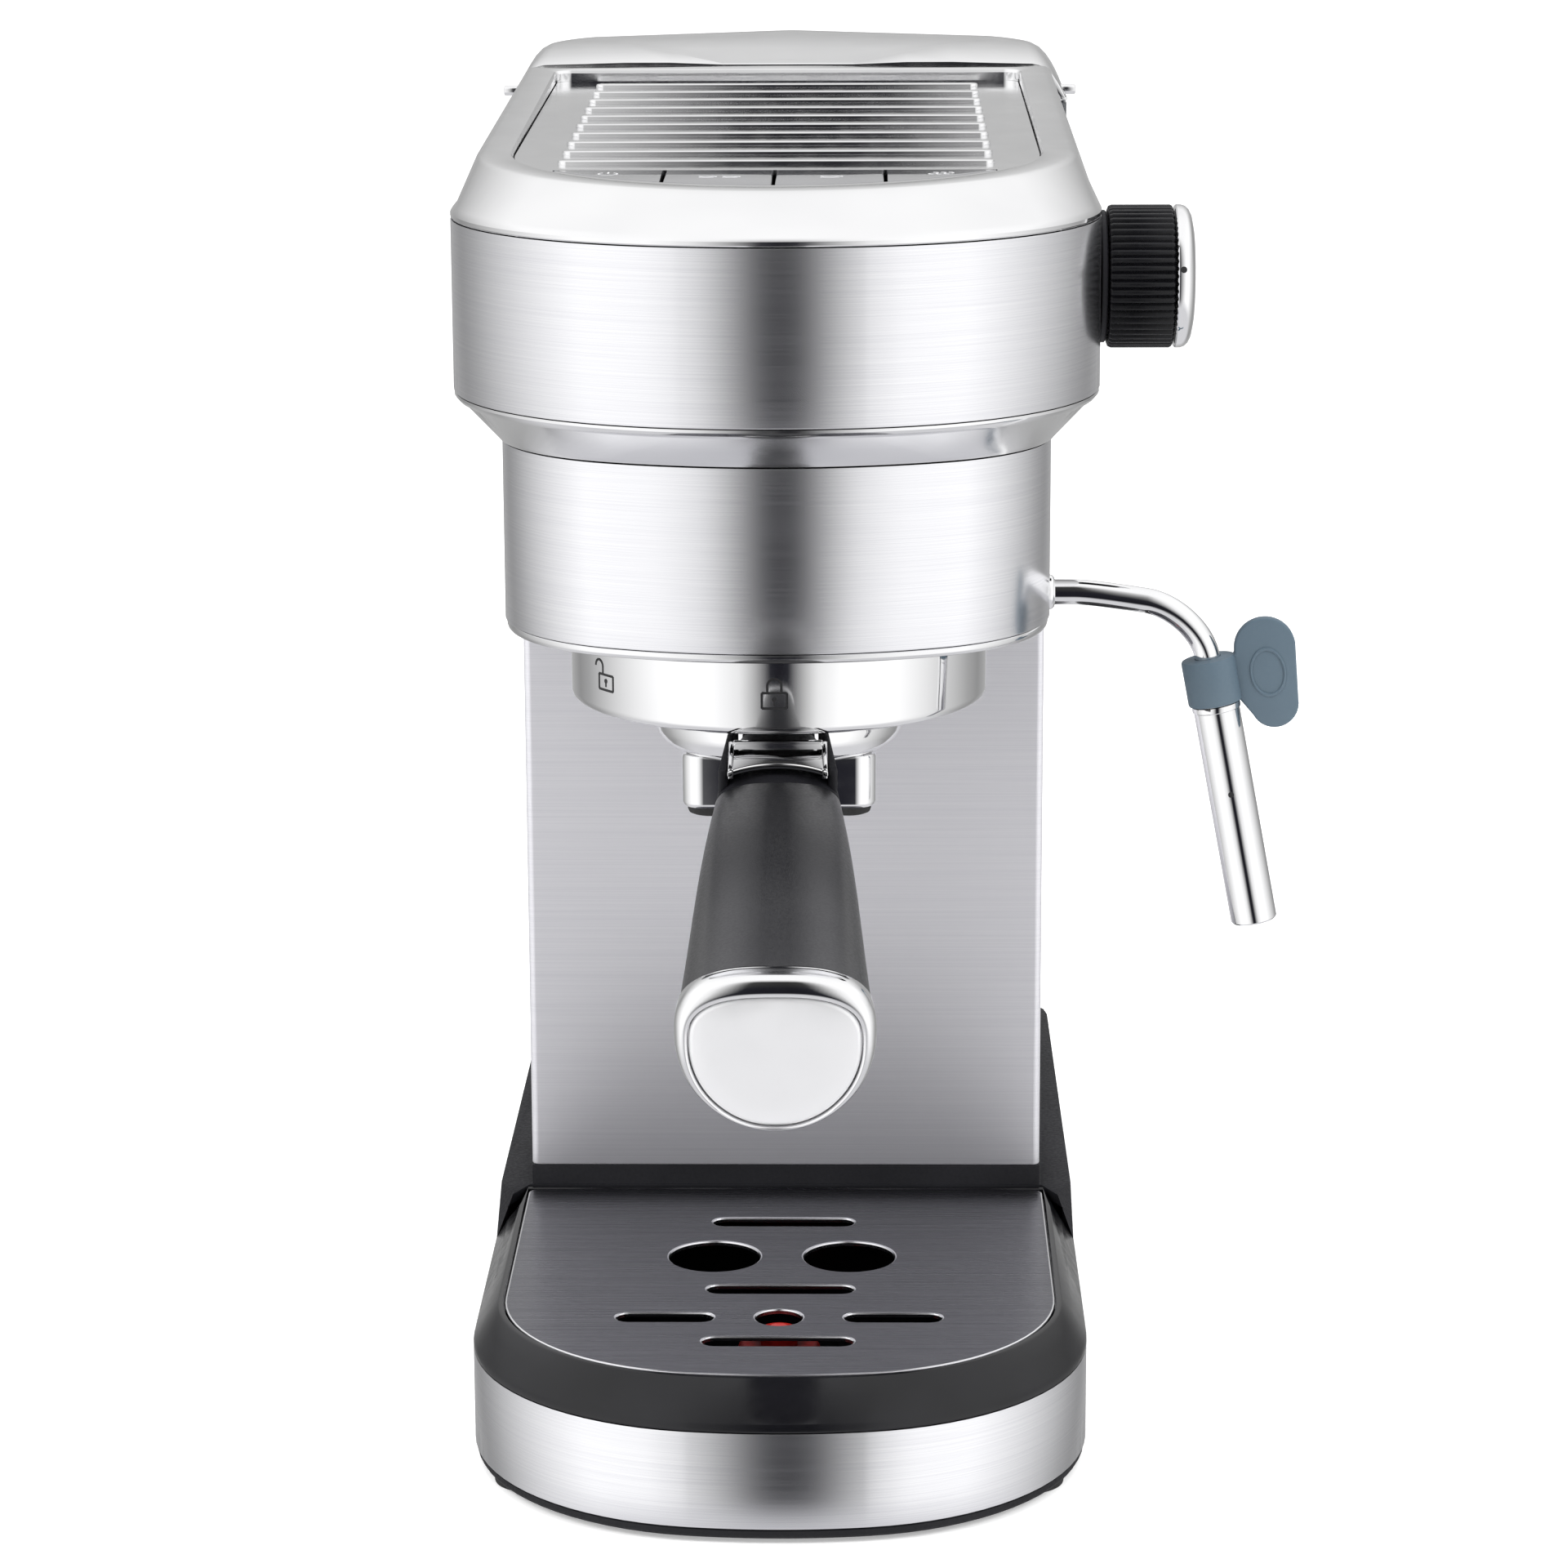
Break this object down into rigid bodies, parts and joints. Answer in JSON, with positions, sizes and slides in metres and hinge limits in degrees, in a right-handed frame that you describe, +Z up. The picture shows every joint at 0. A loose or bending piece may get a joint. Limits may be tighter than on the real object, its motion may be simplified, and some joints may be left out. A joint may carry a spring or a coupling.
{
  "type": "espresso machine",
  "caption": "Slim upright pump espresso machine with a lever-locked portafilter, side steam wand and knob, pull-out drip tray, ribbed cup warmer and rear water tank.",
  "frame": {"origin": "on the worktop, under the middle of the whole machine with its handle and wand", "axes": "+Z up, -Y towards the user at the handle, +X to the user's right, where the steam knob and wand are"},
  "size_m": [0.1952, 0.3968, 0.3123],
  "materials": {
    "brushed_steel": "brushed along its length, light satin",
    "plated_plastic": "bright silver plating",
    "chrome": "polished",
    "satin_plate": "fine satin",
    "cast_aluminium": "as cast",
    "black_gloss": "moulded, glossy",
    "black_matte": "moulded, fine grain",
    "soft_touch": "soft-touch, fine grain",
    "silicone": "matt silicone",
    "rubber": "matt rubber",
    "smoked_tank": "clear, smoke tinted",
    "key_face": "satin keys with printed pictograms",
    "float_red": "moulded",
    "board": "coated laminate",
    "brass": "machined"
  },
  "bodies": {
    "machine": {"base_plate": "black_matte", "foot_front_left": "rubber", "foot_rear_left": "rubber", "foot_front_right": "rubber", "foot_rear_right": "rubber", "rear_base": "black_matte", "cord_inlet": "rubber", "column_core": "black_matte", "column_panel": "brushed_steel", "neck_floor": "black_matte", "neck_trim": "plated_plastic", "neck_band": "brushed_steel", "head_chassis": "black_matte", "transition_cone": "plated_plastic", "head_band": "brushed_steel", "group_ring": "chrome", "group_head": "cast_aluminium", "group_gasket": "rubber", "shower_screen": "brushed_steel", "shower_screw": "brushed_steel", "boiler": "cast_aluminium", "steam_valve": "brass", "pump": "cast_aluminium", "suction_hose": "silicone", "pressure_hose": "silicone", "tank_socket": "black_matte", "knob_collar": "black_matte", "wand_socket": "chrome", "cup_warmer": "satin_plate", "control_board": "board", "top_frame": "plated_plastic"},
    "portafilter": {"portafilter_body": "chrome", "filter_basket": "brushed_steel", "portafilter_spout": "chrome", "spout_tip_left": "black_matte", "spout_tip_right": "black_matte", "handle_neck": "black_matte", "handle_grip": "soft_touch", "handle_end_ring": "plated_plastic", "handle_end_plate": "satin_plate"},
    "clip": {"basket_clip": "chrome"},
    "knob": {"steam_knob": "black_gloss", "knob_cap": "plated_plastic", "knob_spindle": "brass"},
    "wand": {"wand_tube": "chrome", "wand_nozzle": "chrome", "wand_grip": "silicone"},
    "sleeve": {"wand_sleeve": "chrome"},
    "tray": {"tray_body": "black_gloss", "tray_band": "brushed_steel"},
    "plate": {"drain_plate": "brushed_steel"},
    "float": {"tray_float": "float_red"},
    "tank": {"water_tank": "smoked_tank"},
    "lid": {"tank_lid": "plated_plastic"},
    "valve": {"tank_valve": "rubber"},
    "power_key": {"key_power": "key_face"},
    "two_cups_key": {"key_two_cups": "key_face"},
    "one_cup_key": {"key_one_cup": "key_face"},
    "steam_key": {"key_steam": "key_face"}
  },
  "joints": [
    {"name": "portafilter_lock", "type": "hinge", "parent": "machine", "child": "portafilter", "pos_m": [-0.02283, -0.03186, 0.18], "axis": [0, 0, 1], "range_deg": [-40, 0]},
    {"name": "clip_flip", "type": "hinge", "parent": "portafilter", "child": "clip", "pos_m": [-0.02238, -0.06976, 0.17587], "axis": [-0.9999, -0.0119, 0], "range_deg": [0, 12]},
    {"name": "steam_knob_turn", "type": "hinge", "parent": "machine", "child": "knob", "pos_m": [0.05117, -0.03186, 0.2739], "axis": [1, 0, 0], "range_deg": [0, 270]},
    {"name": "wand_swing", "type": "hinge", "parent": "machine", "child": "wand", "pos_m": [0.03917, -0.04686, 0.2037], "axis": [1, 0, 0], "range_deg": [-70, 35]},
    {"name": "sleeve_pull", "type": "slide", "parent": "wand", "child": "sleeve", "axis": [0.1874, 0, -0.9823], "range_m": [0, 0.045]},
    {"name": "tray_slide", "type": "slide", "parent": "machine", "child": "tray", "axis": [0, -1, 0], "range_m": [0, 0.135]},
    {"name": "drain_plate_lift", "type": "slide", "parent": "tray", "child": "plate", "axis": [0, 0, 1], "range_m": [0, 0.04]},
    {"name": "float_rise", "type": "slide", "parent": "tray", "child": "float", "axis": [0, 0, 1], "range_m": [0, 0.005]},
    {"name": "tank_lift", "type": "slide", "parent": "machine", "child": "tank", "axis": [0, 0, 1], "range_m": [0, 0.05]},
    {"name": "tank_lid_open", "type": "hinge", "parent": "tank", "child": "lid", "pos_m": [-0.02283, 0.19844, 0.2988], "axis": [-1, 0, 0], "range_deg": [0, 80]},
    {"name": "tank_valve_lift", "type": "slide", "parent": "tank", "child": "valve", "axis": [0, 0, 1], "range_m": [0, 0.003], "stiffness_N_per_m": 200, "springref_m": -0.002},
    {"name": "power_press", "type": "slide", "parent": "machine", "child": "power_key", "axis": [0, 0.0385, -0.9993], "range_m": [0, 0.0012], "stiffness_N_per_m": 800, "springref_m": -0.0005},
    {"name": "two_cups_press", "type": "slide", "parent": "machine", "child": "two_cups_key", "axis": [0, 0.0385, -0.9993], "range_m": [0, 0.0012], "stiffness_N_per_m": 800, "springref_m": -0.0005},
    {"name": "one_cup_press", "type": "slide", "parent": "machine", "child": "one_cup_key", "axis": [0, 0.0385, -0.9993], "range_m": [0, 0.0012], "stiffness_N_per_m": 800, "springref_m": -0.0005},
    {"name": "steam_press", "type": "slide", "parent": "machine", "child": "steam_key", "axis": [0, 0.0385, -0.9993], "range_m": [0, 0.0012], "stiffness_N_per_m": 800, "springref_m": -0.0005}
  ]
}
